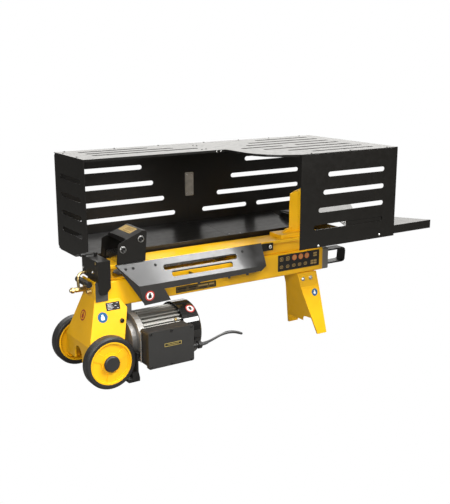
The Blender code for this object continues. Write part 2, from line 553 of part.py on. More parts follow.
def plumbing():
    """The pipe from the pump to the valve housing, with its brass unions."""
    pipe = bpy.data.curves.new("hydraulic_pipe", "CURVE")
    pipe.dimensions = "3D"
    pipe.bevel_depth = 0.0042
    pipe.bevel_resolution = 2
    pipe.use_fill_caps = True
    route = smooth_route([(-0.0290, 0.0120, 0.2660), (-0.0300, 0.0120, 0.2760), (-0.0296, 0.0140, 0.2890),
                          (-0.0240, 0.0185, 0.2985), (-0.0130, 0.0217, FEED_Z - 0.0005), (-0.0030, 0.0220, FEED_Z),
                          (0.0110, 0.0220, FEED_Z)], 0.0065)
    spline = pipe.splines.new("POLY")
    spline.points.add(len(route) - 1)
    for point, place in zip(spline.points, route):
        point.co = (*place, 1)
    made = bpy.data.objects.new("hydraulic_pipe", pipe)
    pipe.materials.append(FINISH["brass"])
    bpy.context.collection.objects.link(made)
    turned("pipe_union", "X", (0.012, 0.2575),
           [(-0.0560, 0), (-0.0560, 0.0052), (-0.0520, 0.0052), (-0.0520, 0.0086), (-0.0440, 0.0086),
            (-0.0440, 0.0052), (-0.0400, 0.0052), (-0.0400, 0.0075), (-0.0055, 0.0075), (-0.0055, 0)], 6, "brass")
    rod("bleed_screw", "X", (-0.020, 0.2570), -0.0190, -0.0055, 0.0062, 6, "brass")


# ---- motor, pump and electrics ------------------------------------------------------------
def gear_outline(centre, start):
    """A spur gear's outline with straight-flanked teeth and a generous running clearance."""
    points = []
    pitch = 360 / GEAR_TEETH
    for tooth in range(GEAR_TEETH):
        middle = start + tooth * pitch
        for offset, radius in ((-7.5, 0.0098), (-2.6, 0.0138), (2.6, 0.0138), (7.5, 0.0098)):
            points += arc(centre, radius, middle + offset, middle + offset, 1)[:1]
    return points


def motor():
    centre = (MOTOR_Y, MOTOR_Z)
    second = (MOTOR_Y, MOTOR_Z + 2 * GEAR_PITCH_R)
    fins = []
    count = 36
    for index in range(count):
        middle = 360 * index / count
        for offset, radius in ((-3.6, 0.0685), (-1.5, FIN_R), (1.5, FIN_R), (3.6, 0.0685)):
            fins += arc(centre, radius, middle + offset, middle + offset, 1)[:1]
    shell = prism("motor_housing", "X", fins, 0.1125, 0.2355, "aluminium")
    cut(shell, rod("cut_housing", "X", centre, 0.10, 0.2300, STATOR_R + GAP, 32),
        rod("cut_rear_bore", "X", centre, 0.22, 0.25, 0.0068, 16))
    tube("motor_stator", "X", centre, 0.128, 0.214, STATOR_R, 0.0400, 32, "steel")

    body = rod("pump_body", "X", centre, 0.0940, 0.1122, 0.0720, 36, "grey")
    cavity = [rod("cut_gear_room", "X", place, 0.0935, 0.1080, 0.0143, 24) for place in (centre, second)]
    join(body, block("pump_lug", (0.0955, -0.0340, 0.1650), (0.1110, 0.0150, BEAM_Z0 - GAP)))
    cut(body, *cavity, rod("cut_shaft_bore", "X", centre, 0.09, 0.12, 0.0068, 16))
    cover = rod("pump_cover", "X", centre, 0.0785, 0.0937, 0.0540, 32, "grey")
    cut(cover, *[rod("cut_cover_bore", "X", place, 0.0835, 0.1, 0.0066, 16) for place in (centre, second)])

    shaft = turned("rotor_shaft", "X", centre,
                   [(0.0845, 0), (0.0845, 0.0062), (0.1300, 0.0062), (0.1300, 0.0385), (0.2120, 0.0385),
                    (0.2120, 0.0062), (0.2640, 0.0062), (0.2640, 0)], 24, "steel")
    drive = prism("drive_gear", "X", gear_outline(centre, 0), 0.0955, 0.1065, "steel")
    cut(drive, rod("cut_drive_bore", "X", centre, 0.09, 0.11, 0.0065, 16))
    driven = prism("driven_gear", "X", gear_outline(second, 15), 0.0955, 0.1065, "steel")
    join(driven, rod("driven_pin", "X", second, 0.0845, 0.0960, 0.0062, 16))

    fan = rod("cooling_fan", "X", centre, 0.2470, 0.2500, 0.0600, 24, "plastic")
    cut(fan, rod("cut_fan_bore", "X", centre, 0.24, 0.26, 0.0065, 16))
    blades = []
    for index in range(6):
        turn = math.radians(60 * index)
        along = Vector((0, math.cos(turn), math.sin(turn)))
        across = Vector((0, -math.sin(turn), math.cos(turn))) * 0.0015
        root, tip = Vector((0.2490, *centre)) + along * 0.020, Vector((0.2490, *centre)) + along * 0.0680
        lift = Vector((0.0150, 0, 0))
        corners = [root - across, tip - across, tip - across + lift, root - across + lift]
        blades.append(slab("fan_blade", corners, -0.003))
    join(fan, *blades)

    cup = turned("fan_cover", "X", centre,
                 [(0.2360, FAN_COVER_R - 0.003), (0.2360, FAN_COVER_R), (0.2860, FAN_COVER_R),
                  (0.2915, FAN_COVER_R - 0.005), (0.2915, 0), (0.2890, 0), (0.2890, FAN_COVER_R - 0.0065),
                  (0.2850, FAN_COVER_R - 0.003)], 40, "black")
    grille = []
    for radius in (0.030, 0.048, 0.064):
        for start in range(0, 360, 90):
            span = 34
            outline = arc(centre, radius + 0.0035, start - span, start + span, 6)
            outline += arc(centre, radius - 0.0035, start + span, start - span, 6)
            grille.append(prism("cut_grille", "X", outline, 0.28, 0.30))
    cut(cup, *grille)

    prism("motor_foot", "Y", [(0.0520, 0.0040), (0.0870, 0.0040), (0.0875, 0.0140), (0.0835, 0.0330),
                              (0.0835, 0.0700), (0.0935, 0.0760), (0.0935, 0.0880), (0.0790, 0.0880),
                              (0.0770, 0.0330), (0.0640, 0.0330), (0.0640, 0.0160), (0.0520, 0.0110)],
          -0.1250, -0.1030, "plastic")
    return shaft


def electrics():
    case = prism("terminal_box", "Y", rounded((BOX_X0 + 0.002, BOX_Z0 + 0.004), (BOX_X1 - 0.002, BOX_Z1 - 0.002), 0.006),
                 BOX_SPLIT + GAP, BOX_BACK, "plastic")
    cut(case, prism("cut_case", "Y", rounded((BOX_X0 + 0.0045, BOX_Z0 + 0.0065), (BOX_X1 - 0.0045, BOX_Z1 - 0.0045), 0.004),
                    BOX_SPLIT - 0.01, BOX_BACK - 0.0025),
        rod("cut_lead_hole", "X", (GLAND_Y, GLAND_Z), 0.215, 0.25, 0.0062, 16),
        rod("cut_button_hole", "X", (GLAND_Y, 0.128), 0.215, 0.25, 0.0083, 16))
    lid = prism("terminal_lid", "Y", rounded((BOX_X0, BOX_Z0), (BOX_X1, BOX_Z1), 0.005), BOX_FRONT, BOX_SPLIT, "plastic")
    cut(lid, prism("cut_lid", "Y", rounded((BOX_X0 + 0.003, BOX_Z0 + 0.003), (BOX_X1 - 0.003, BOX_Z1 - 0.003), 0.003),
                   BOX_FRONT + 0.003, BOX_SPLIT + 0.01))
    rod("start_button", "X", (GLAND_Y, 0.128), 0.2205, 0.2355, 0.0078, 20, "plastic")

    face = BOX_X1 - 0.002 + GAP
    turned("cable_gland", "X", (GLAND_Y, GLAND_Z),
           [(face - 0.006, 0.0042), (face - 0.006, 0.0056), (face, 0.0056), (face, 0.0115), (face + 0.005, 0.0115),
            (face + 0.007, 0.0078), (0.2620, 0.0068), (0.2640, 0.0112), (0.2740, 0.0112), (0.2765, 0.0060),
            (0.2765, 0.0042)], 20, "plastic")


def smooth_route(points, spacing):
    """Evenly spaced points along a Catmull-Rom curve through the given ones."""
    places = [Vector(p) for p in points]
    ends = [2 * places[0] - places[1]] + places + [2 * places[-1] - places[-2]]
    fine = []
    for i in range(len(places) - 1):
        p0, p1, p2, p3 = ends[i:i + 4]
        for step in range(12):
            t = step / 12
            fine.append(0.5 * (2 * p1 + (p2 - p0) * t + (2 * p0 - 5 * p1 + 4 * p2 - p3) * t ** 2
                               + (3 * p1 - 3 * p2 + p3 - p0) * t ** 3))
    fine.append(places[-1])
    out, travelled = [fine[0]], 0.0
    for one, two in zip(fine, fine[1:]):
        travelled += (two - one).length
        if travelled >= spacing:
            out.append(two)
            travelled = 0.0
    if (out[-1] - fine[-1]).length > spacing / 3:
        out.append(fine[-1])
    else:
        out[-1] = fine[-1]
    return out


CORD_ROUTE = [(0.2768, -0.147, 0.083), (0.2885, -0.1463, 0.083), (0.3092, -0.1378, 0.0826), (0.3441, -0.1139, 0.0785),
              (0.3943, -0.0717, 0.067), (0.4475, -0.0268, 0.05), (0.4923, 0.0040, 0.034), (0.5240, 0.0217, 0.0195),
              (0.5446, 0.0398, 0.0088), (0.5515, 0.0545, 0.0048), (0.5500, 0.0702, CORD_R), (0.5411, 0.0833, CORD_R),
              (0.5273, 0.0902, CORD_R), (0.5105, 0.0888, CORD_R), (0.4700, 0.0690, CORD_R), (0.4300, 0.0510, CORD_R),
              (0.3960, 0.0440, CORD_R), (0.3600, 0.0520, CORD_R), (0.3280, 0.0760, CORD_R), (0.3060, 0.1120, CORD_R),
              (0.2972, 0.1540, CORD_R)]


def cord():
    """The supply lead: a tube as far as the coil, the coil's outer shape, and the plug."""
    lead = bpy.data.curves.new("cord", "CURVE")
    lead.dimensions = "3D"
    lead.bevel_depth = CORD_R - 0.0002
    lead.bevel_resolution = 2
    lead.use_fill_caps = True
    route = smooth_route(CORD_ROUTE, 0.0155)
    spline = lead.splines.new("POLY")
    spline.points.add(len(route) - 1)
    for point, place in zip(spline.points, route):
        point.co = (*place, 1)
    lead.materials.append(FINISH["rubber"])
    bpy.context.collection.objects.link(bpy.data.objects.new("cord", lead))

    inner, outer = COIL_R - 1.02 * CORD_R, COIL_R + 1.02 * CORD_R
    tube("cord_coil", "Z", COIL_AT, 0.0003, (COIL_TURNS + 1) * 2 * CORD_R + 0.001, outer, inner, 32, "rubber")

    end, side = PLUG_AT
    plug = rod("plug", "X", (side, 0.0185), end - 0.0550, end - 0.0180, 0.0180, 20, "rubber")
    join(plug, turned("plug_tail", "X", (side, 0.0185), [(end - 0.0200, 0), (end - 0.0200, 0.0110),
                                                        (end, 0.0062), (end, 0)], 12),
         rod("plug_pin", "X", (side - 0.0095, 0.0185), end - 0.0740, end - 0.0540, 0.0024, 8),
         rod("plug_pin_two", "X", (side + 0.0095, 0.0185), end - 0.0740, end - 0.0540, 0.0024, 8))


beam()
end_block()
left_leg()
right_leg()
wheels()
pusher()
wedge()
cage()
trays()
table()
wing()
lever_group()
plumbing()
motor()
electrics()
cord()

for piece in bpy.context.scene.objects:
    piece.location -= Vector((CENTRE_X, CENTRE_Y, 0))
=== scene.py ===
"""Looks of the electric log splitter: finishes, edges, fasteners, labels and supply lead.

Metres, +Z up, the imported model's own frame. Places are given from the ground straight under the wheel
axle, on the beam's centre line, and at() turns them into the model's frame.
"""
import json
import math

import bmesh
import bpy
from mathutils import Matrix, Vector
from mathutils.bvhtree import BVHTree


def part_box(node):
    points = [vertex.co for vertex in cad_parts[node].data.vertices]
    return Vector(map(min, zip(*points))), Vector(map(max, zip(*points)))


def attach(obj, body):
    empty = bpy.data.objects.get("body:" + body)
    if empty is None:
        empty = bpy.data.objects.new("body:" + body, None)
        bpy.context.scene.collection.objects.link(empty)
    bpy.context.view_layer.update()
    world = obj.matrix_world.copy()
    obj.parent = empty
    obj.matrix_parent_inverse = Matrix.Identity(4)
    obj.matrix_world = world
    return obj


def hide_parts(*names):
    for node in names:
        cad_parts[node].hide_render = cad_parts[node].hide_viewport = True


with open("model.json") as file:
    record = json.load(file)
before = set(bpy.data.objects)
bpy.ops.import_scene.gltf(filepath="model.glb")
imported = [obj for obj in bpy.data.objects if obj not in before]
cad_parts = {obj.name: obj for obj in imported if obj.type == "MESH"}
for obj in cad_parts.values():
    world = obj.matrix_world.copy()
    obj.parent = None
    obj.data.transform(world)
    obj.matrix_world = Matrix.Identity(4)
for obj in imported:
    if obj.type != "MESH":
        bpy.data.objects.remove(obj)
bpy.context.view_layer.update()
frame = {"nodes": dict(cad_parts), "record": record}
nodes = frame["nodes"]


def middle(node):
    low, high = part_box(node)
    return (low + high) / 2


ORIGIN = Vector((middle("wheel_axle").x, middle("beam_tank").y, 0))
UP = Vector((0, 0, 1))


def at(x, y, z):
    return ORIGIN + Vector((x, y, z))


# ---- camera -------------------------------------------------------------------------------
def camera():
    data = bpy.data.cameras.new("camera")
    data.sensor_width = 36.0
    data.lens = 57.97
    eye = bpy.data.objects.new("camera", data)
    eye.location = (-1.4050, -2.0613, 0.9009)
    eye.rotation_euler = (math.radians(90 - 13.7), 0, math.radians(-33))
    bpy.context.scene.collection.objects.link(eye)
    bpy.context.scene.camera = eye


# ---- finishes -----------------------------------------------------------------------------
def finish(name, colour, roughness, metallic=0.0, spread=0.10, cloud=14.0, grain=900.0, depth=0.03,
           stretch=(1, 1, 1), coat=0.0, sheen=0.0):
    """A finish with slow colour variation, uneven gloss and a fine grain in its relief."""
    made = bpy.data.materials.new(name)
    made.use_nodes = True
    tree = made.node_tree
    shader = tree.nodes["Principled BSDF"]
    link = tree.links.new

    place = tree.nodes.new("ShaderNodeTexCoord")
    turn = tree.nodes.new("ShaderNodeMapping")
    turn.inputs["Scale"].default_value = stretch
    link(place.outputs["Object"], turn.inputs["Vector"])

    def noise(scale, detail, rough=0.55):
        field = tree.nodes.new("ShaderNodeTexNoise")
        field.inputs["Scale"].default_value = scale
        field.inputs["Detail"].default_value = detail
        field.inputs["Roughness"].default_value = rough
        link(turn.outputs["Vector"], field.inputs["Vector"])
        return field.outputs["Fac"]

    def spanned(value, low, high, first=0.3, last=0.7):
        span = tree.nodes.new("ShaderNodeMapRange")
        for key, number in (("From Min", first), ("From Max", last), ("To Min", low), ("To Max", high)):
            span.inputs[key].default_value = number
        link(value, span.inputs["Value"])
        return span.outputs["Result"]

    blend = tree.nodes.new("ShaderNodeMix")
    blend.data_type = "RGBA"
    blend.inputs["A"].default_value = (*[c * (1 - spread) for c in colour], 1)
    blend.inputs["B"].default_value = (*[min(1, c * (1 + spread)) for c in colour], 1)
    link(spanned(noise(cloud, 5), 0, 1), blend.inputs["Factor"])
    link(blend.outputs["Result"], shader.inputs["Base Color"])
    uneven = noise(cloud * 5, 6, 0.65)
    link(spanned(uneven, roughness * 0.86, min(1, roughness * 1.16)), shader.inputs["Roughness"])

    relief = tree.nodes.new("ShaderNodeBump")
    relief.inputs["Strength"].default_value = depth
    relief.inputs["Distance"].default_value = 0.001
    link(noise(grain, 2), relief.inputs["Height"])
    link(relief.outputs["Normal"], shader.inputs["Normal"])

    shader.inputs["Metallic"].default_value = metallic
    shader.inputs["Coat Weight"].default_value = coat
    shader.inputs["Coat Roughness"].default_value = 0.12
    shader.inputs["Sheen Weight"].default_value = sheen
    return made


FINISH = {
    "yellow_paint": finish("yellow_powder_coat", (0.90, 0.475, 0.004), 0.40, spread=0.05, depth=0.05,
                           coat=0.10),
    "black_paint": finish("black_powder_coat", (0.0046, 0.0040, 0.0032), 0.32, spread=0.10, depth=0.0),
    "cast_grey": finish("cast_aluminium", (0.27, 0.26, 0.245), 0.50, 0.75, grain=420, depth=0.25),
    "steel": finish("zinc_plated_steel", (0.60, 0.60, 0.58), 0.28, 1.0, spread=0.12, cloud=60, depth=0.05),
    "aluminium": finish("extruded_aluminium", (0.19, 0.185, 0.17), 0.44, 1.0, cloud=30,
                        stretch=(0.06, 1, 1), depth=0.1),
    "rubber": finish("moulded_rubber", (0.040, 0.041, 0.042), 0.52, spread=0.15, depth=0.08, sheen=0.05),
    "tyre": finish("tyre_rubber", (0.017, 0.0165, 0.016), 0.44, spread=0.18, cloud=40, depth=0.08,
                   sheen=0.02),
    "black_plastic": finish("moulded_plastic", (0.023, 0.0225, 0.0215), 0.46, spread=0.08, grain=1500,
                            depth=0.12),
    "brass": finish("yellow_zinc", (0.50, 0.37, 0.16), 0.34, 1.0, spread=0.2, cloud=80, depth=0.05),
}
INK_BLACK = finish("ink_black", (0.008, 0.0075, 0.007), 0.42, spread=0.1)
INK_WHITE = finish("ink_white", (0.80, 0.79, 0.76), 0.42, spread=0.03)
INK_RED = finish("ink_red", (0.42, 0.030, 0.022), 0.42, spread=0.06)
INK_BLUE = finish("ink_blue", (0.006, 0.095, 0.245), 0.40, spread=0.06)
INK_ORANGE = finish("ink_orange", (0.62, 0.17, 0.05), 0.42, spread=0.06)
INK_TAN = finish("ink_tan", (0.42, 0.28, 0.09), 0.42, spread=0.08)
INK_BROWN = finish("ink_brown", (0.10, 0.065, 0.018), 0.45, spread=0.1)
GOLD_FOIL = finish("gold_foil", (0.75, 0.58, 0.18), 0.30, 0.8, spread=0.1)
SATIN_BLACK = finish("satin_black_sheet", (0.020, 0.019, 0.018), 0.33, spread=0.12, depth=0.05, coat=0.35)
BRUSHED = finish("bare_sheet", (0.42, 0.40, 0.36), 0.45, 0.8, spread=0.15, cloud=50, depth=0.1)
SOCKET_DARK = finish("blackened_steel", (0.020, 0.019, 0.018), 0.34, 0.6, spread=0.2, cloud=60)
LEAD_SHEATH = finish("lead_sheath", (0.040, 0.042, 0.046), 0.38, spread=0.08, depth=0.05)

GLOSS_BLACK = finish("gloss_black_cover", (0.008, 0.0075, 0.007), 0.13, spread=0.2, depth=0.02, coat=0.5)
# painted shade: a near-black matte finish for flat discs that stand in for the shaded inside of holes
PAINTED_HOLE_SHADE = finish("painted_hole_shade", (0.0015, 0.0014, 0.0012), 0.95)
DULL_BLACK = finish("dull_black_plastic", (0.012, 0.0115, 0.011), 0.42, spread=0.15, depth=0.1)
DULL_GREY = finish("painted_grey", (0.075, 0.073, 0.070), 0.45, 0.2, spread=0.1, depth=0.1)

# nodes that look unlike the rest of their slot
SPECIAL = {
    "front_wing": SATIN_BLACK, "back_joint_plate": BRUSHED, "fan_cover": GLOSS_BLACK,
    "control_lever": SOCKET_DARK, "lever_knob": DULL_BLACK, "valve_sleeve": DULL_BLACK,
    "lever_bracket": DULL_GREY, "cable_gland": DULL_BLACK, "motor_foot": DULL_BLACK,
    "lift_handle": DULL_BLACK,
}
# how wide the broken edge of a thick part is; sheet parts share one width
EDGE = {
    "terminal_lid": 0.0022, "terminal_box": 0.0012, "left_leg": 0.0009, "right_leg": 0.0009,
    "splitting_wedge": 0.0010, "lift_handle": 0.0012, "pusher_hood": 0.0009, "pusher_block": 0.0008,
    "guide_rail": 0.0009, "lever_guard": 0.0007, "motor_foot": 0.0010, "plug": 0.0008, "beam_end_cap": 0.0010,
    "front_wheel": 0.0008, "rear_wheel": 0.0008, "front_tyre": 0.0012, "rear_tyre": 0.0012,
    "front_hub_cap": 0.0008, "rear_hub_cap": 0.0008, "fan_cover": 0.0006, "motor_housing": 0.0003,
}
SHEET_EDGE = 0.0004
NO_EDGE = ("cord", "cord_coil", "piston_rod", "motor_stator", "drive_gear", "driven_gear", "hydraulic_pipe")


def dress_nodes():
    """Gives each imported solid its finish, and edges that are broken as on the real part."""
    slots = {part["node"]: part["material_slot"] for part in frame["record"]["subparts"]}
    for name, thing in nodes.items():
        coat = SPECIAL.get(name, FINISH[slots[name]])
        thing.data.materials.clear()
        thing.data.materials.append(coat)
        for face in thing.data.polygons:
            face.material_index = 0
        if name in NO_EDGE:
            continue
        weld = thing.modifiers.new("weld", "WELD")
        weld.merge_threshold = 0.00001
        flat = thing.modifiers.new("flat", "DECIMATE")
        flat.decimate_type = "DISSOLVE"
        flat.angle_limit = math.radians(0.6)
        broken = thing.modifiers.new("broken_edge", "BEVEL")
        broken.width = EDGE.get(name, SHEET_EDGE)
        broken.segments = 2
        broken.limit_method = "ANGLE"
        broken.angle_limit = math.radians(42)
        broken.use_clamp_overlap = True
        even = thing.modifiers.new("even", "WEIGHTED_NORMAL")
        even.keep_sharp = True


# ---- building small pieces ----------------------------------------------------------------
def surface(node, start, direction):
    """Where a line from start meets a node, and which way the surface faces there."""
    data = nodes[node].data
    tree = BVHTree.FromPolygons([v.co for v in data.vertices], [p.vertices[:] for p in data.polygons])
    place, normal, _, _ = tree.ray_cast(start, Vector(direction))
    if place is None:
        raise ValueError(f"nothing of {node} lies at {tuple(round(c, 4) for c in start)}")
    return place, normal.normalized() * (-1 if normal.dot(Vector(direction)) > 0 else 1)


def front(node, x, z):
    return surface(node, at(x, -0.40, z), (0, 1, 0))


def above(node, x, y):
    return surface(node, at(x, y, 0.80), (0, 0, -1))


def leftward(node, y, z):
    return surface(node, at(-0.30, y, z), (1, 0, 0))


class Patch:
    """A flat place on a surface, with loops of points drawn on it in its own two directions."""

    def __init__(self, spot, level=0.0, up=UP):
        place, self.normal = spot
        self.right = up.cross(self.normal).normalized()
        self.up = self.normal.cross(self.right).normalized()
        self.place = place + self.normal * level

    def loop(self, points):
        return [self.place + self.right * a + self.up * b for a, b in points]

    def disc(self, a, b, radius, count=28):
        turns = [2 * math.pi * i / count for i in range(count)]
        return self.loop([(a + radius * math.cos(t), b + radius * math.sin(t)) for t in turns])

    def bar(self, a, b, width, height, corner=0.0008):
        points = []
        for sx, sy, start in ((1, 1, 0), (-1, 1, 90), (-1, -1, 180), (1, -1, 270)):
            cx, cy = a + sx * (width / 2 - corner), b + sy * (height / 2 - corner)
            for step in range(4):
                t = math.radians(start + 30 * step)
                points.append((cx + corner * math.cos(t), cy + corner * math.sin(t)))
        return self.loop(points)


class Build:
    """Collects plates and turned shapes into one piece that rides on a body."""

    def __init__(self, name, body, slot, *finishes):
        self.name, self.body, self.slot, self.finishes = name, body, slot, finishes
        self.work = bmesh.new()

    def faces(self, loops, finish_index, smooth=False):
        for loop in loops:
            face = self.work.faces.new(loop)
            face.material_index = finish_index
            face.smooth = smooth

    def plate(self, outline, lift, finish_index=0):
        low = [self.work.verts.new(p) for p in outline]
        high = [self.work.verts.new(p + lift) for p in outline]
        count = len(low)
        sides = [(low[i], low[(i + 1) % count], high[(i + 1) % count], high[i]) for i in range(count)]
        self.faces([low[::-1], high, *sides], finish_index)

    def turned(self, centre, axis, profile, count=24, finish_index=0):
        """A closed turned shape: profile lists distance along the axis and radius, 0 at both ends."""
        axis = Vector(axis).normalized()
        side = axis.cross(UP if abs(axis.z) < 0.9 else Vector((1, 0, 0))).normalized()
        other = axis.cross(side)
        rings = []
        for along, radius in profile:
            base = centre + axis * along
            if radius == 0:
                rings.append([self.work.verts.new(base)])
                continue
            turns = [2 * math.pi * i / count for i in range(count)]
            rings.append([self.work.verts.new(base + (side * math.cos(t) + other * math.sin(t)) * radius)
                          for t in turns])
        for one, two in zip(rings, rings[1:]):
            if len(one) == 1:
                fan = [(one[0], two[(i + 1) % count], two[i]) for i in range(count)]
                self.faces(fan, finish_index, True)
            elif len(two) == 1:
                fan = [(one[i], one[(i + 1) % count], two[0]) for i in range(count)]
                self.faces(fan, finish_index, True)
            else:
                quads = [(one[i], one[(i + 1) % count], two[(i + 1) % count], two[i]) for i in range(count)]
                self.faces(quads, finish_index, True)

    def done(self, edge=0.0):
        bmesh.ops.recalc_face_normals(self.work, faces=self.work.faces)
        data = bpy.data.meshes.new(self.name)
        self.work.to_mesh(data)
        self.work.free()
        thing = bpy.data.objects.new(self.name, data)
        for coat in self.finishes:
            data.materials.append(coat)
        bpy.context.scene.collection.objects.link(thing)
        if edge:
            broken = thing.modifiers.new("broken_edge", "BEVEL")
            broken.width = edge
            broken.segments = 2
            broken.limit_method = "ANGLE"
            broken.angle_limit = math.radians(40)
        even = thing.modifiers.new("even", "WEIGHTED_NORMAL")
        even.keep_sharp = True
        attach(thing, self.body)
        return thing


SUNK = 0.0004       # how far a fitting's underside sits in the surface below it


def screw(build, spot, radius, height=None, recess=None):
    """A domed screw head with a recessed drive, standing on a surface."""
    place, axis = spot
    tall = height or radius * 0.55
    dome = [(-SUNK, 0), (-SUNK, radius), (tall * 0.35, radius), (tall * 0.75, radius * 0.86),
            (tall, radius * 0.55), (tall * 0.98, radius * 0.46), (tall * 0.35, radius * 0.40),
            (tall * 0.35, 0)]
    build.turned(place, axis, dome, 16)
    if recess is not None:
        drive = [(0, 0), (0, radius * 0.36), (tall * 0.12, radius * 0.33), (tall * 0.12, 0)]
        build.turned(place + axis * tall * 0.36, axis, drive, 6, recess)


def hex_bolt(build, spot, radius):
    """A hexagon head on a flat washer."""
    place, axis = spot
    disc = [(-SUNK, 0), (-SUNK, radius * 1.30), (radius * 0.16, radius * 1.30),
            (radius * 0.22, radius * 1.24), (radius * 0.22, 0)]
    hexagon = [(radius * 0.20, 0), (radius * 0.20, radius), (radius * 0.78, radius),
               (radius * 0.92, radius * 0.84), (radius * 0.92, 0)]
    build.turned(place, axis, disc, 24)
    build.turned(place, axis, hexagon, 6)


# ---- supply lead --------------------------------------------------------------------------
CORD_R = 0.00375
COIL_R, COIL_TURNS, COIL_AT = 0.041, 3, (0.347, 0.158)
PLUG_AT, PLUG_R = (0.262, 0.205), 0.0185
RELIEF_LENGTH, RELIEF_R, RELIEF_TAPER = 0.034, 0.0054, 0.0011
TIE_LOW, TIE_HIGH, TIE_HALF, TIE_CORNER, TIE_WIDE = 0.0048, 0.0292, 0.0056, 0.0020, 0.0090
CORD_ROUTE = [
    (0.2768, -0.147, 0.083), (0.2885, -0.1463, 0.083), (0.3092, -0.1378, 0.0826), (0.3441, -0.1139, 0.0785),
    (0.3943, -0.0717, 0.067), (0.4475, -0.0268, 0.05), (0.4923, 0.0040, 0.034), (0.5240, 0.0217, 0.0195),
    (0.5446, 0.0398, 0.0088), (0.5515, 0.0545, 0.0048), (0.5500, 0.0702, CORD_R), (0.5411, 0.0833, CORD_R),
    (0.5273, 0.0902, CORD_R), (0.5105, 0.0888, CORD_R), (0.4700, 0.0690, CORD_R), (0.4300, 0.0510, CORD_R),
    (0.3960, 0.0440, CORD_R), (0.3600, 0.0520, CORD_R), (0.3280, 0.0760, CORD_R), (0.3060, 0.1120, CORD_R),
    (0.2972, 0.1540, CORD_R),
]


def smooth_route(points, spacing):
    """Evenly spaced points along a Catmull-Rom curve through the given ones."""
    places = [Vector(p) for p in points]
    ends = [2 * places[0] - places[1]] + places + [2 * places[-1] - places[-2]]
    fine = []
    for i in range(len(places) - 1):
        p0, p1, p2, p3 = ends[i:i + 4]
        for step in range(12):
            t = step / 12
            fine.append(0.5 * (2 * p1 + (p2 - p0) * t + (2 * p0 - 5 * p1 + 4 * p2 - p3) * t ** 2
                               + (3 * p1 - 3 * p2 + p3 - p0) * t ** 3))
    fine.append(places[-1])
    out, travelled = [fine[0]], 0.0
    for one, two in zip(fine, fine[1:]):
        travelled += (two - one).length
        if travelled >= spacing:
            out.append(two)
            travelled = 0.0
    if (out[-1] - fine[-1]).length > spacing / 3:
        out.append(fine[-1])
    else:
        out[-1] = fine[-1]
    return out


def lead_path():
    """Out of the gland, down to the floor behind the motor, round the coil and off to the plug."""
    path = smooth_route(CORD_ROUTE, 0.0105)
    start = Vector(CORD_ROUTE[-1]).x
    wide = COIL_AT[0] - start
    per_turn = 26
    total = COIL_TURNS * per_turn
    for step in range(1, total + 1):
        turned = step / per_turn
        ease = min(1, turned / 0.30)
        ease = ease * ease * (3 - 2 * ease)
        radius = wide + (COIL_R - wide) * ease
        angle = math.radians(180 - 5.0 * (1 - min(1, turned * 4)) - 360 * turned)
        path.append(Vector((COIL_AT[0] + radius * math.cos(angle), COIL_AT[1] + radius * math.sin(angle),
                            CORD_R + 2 * CORD_R * turned)))
    high, low = path[-1].z, PLUG_R
    bend = path[-1].x - PLUG_AT[0]
    base = PLUG_AT[1] - bend
    for step in range(1, 13):
        angle = math.radians(90 * step / 12)
        path.append(Vector((PLUG_AT[0] + bend * math.cos(angle), base + bend * math.sin(angle),
                            high + (low - high) * (step / 12))))
    return [ORIGIN + p for p in path]


def tube_along(name, path, radii, body, coat):
    """A round tube whose radius follows the list of radii, as a curve."""
    data = bpy.data.curves.new(name, "CURVE")
    data.dimensions = "3D"
    data.bevel_depth = 1.0
    data.bevel_resolution = 4
    data.use_fill_caps = True
    spline = data.splines.new("POLY")
    spline.points.add(len(path) - 1)
    for point, place, radius in zip(spline.points, path, radii):
        point.co = (*place, 1)
        point.radius = radius
    data.materials.append(coat)
    thing = bpy.data.objects.new(name, data)
    bpy.context.scene.collection.objects.link(thing)
    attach(thing, body)
    return thing


def strain_relief(path):
    """A sleeve that tapers along the lead's first stretch."""
    sleeve, travelled, radii = [], 0.0, []
    for one, two in zip(path, path[1:]):
        sleeve.append(one)
        radii.append(RELIEF_R - RELIEF_TAPER * travelled / RELIEF_LENGTH)
        travelled += (two - one).length
        if travelled > RELIEF_LENGTH:
            break
    return tube_along("strain_relief", sleeve, radii, "frame", FINISH["rubber"])


def mains_plug():
    """A ribbed round plug with two pins, lying on the ground."""
    end, side = PLUG_AT
    body = [(0, 0), (0, 0.0062), (0.004, 0.0072), (0.006, 0.0066), (0.008, 0.0084), (0.010, 0.0078),
            (0.012, 0.0096), (0.014, 0.0090), (0.018, 0.0112), (0.022, 0.0158), (0.026, 0.0176),
            (0.034, 0.0180), (0.036, 0.0172), (0.039, 0.0172), (0.041, 0.0180), (0.049, 0.0180),
            (0.0535, 0.0170), (0.055, 0.0155), (0.055, 0)]
    pin = [(0, 0), (0, 0.0024), (0.0190, 0.0024), (0.0200, 0.0016), (0.0200, 0)]
    pin_start, pin_offset = 0.054, 0.0095
    grip = Build("mains_plug", "frame", "rubber", FINISH["rubber"], FINISH["steel"])
    grip.turned(at(end, side, PLUG_R), (-1, 0, 0), body, 32)
    for offset in (-pin_offset, pin_offset):
        grip.turned(at(end - pin_start, side + offset, PLUG_R), (-1, 0, 0), pin, 14, 1)
    plug = grip.done()
    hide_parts("plug")
    return plug


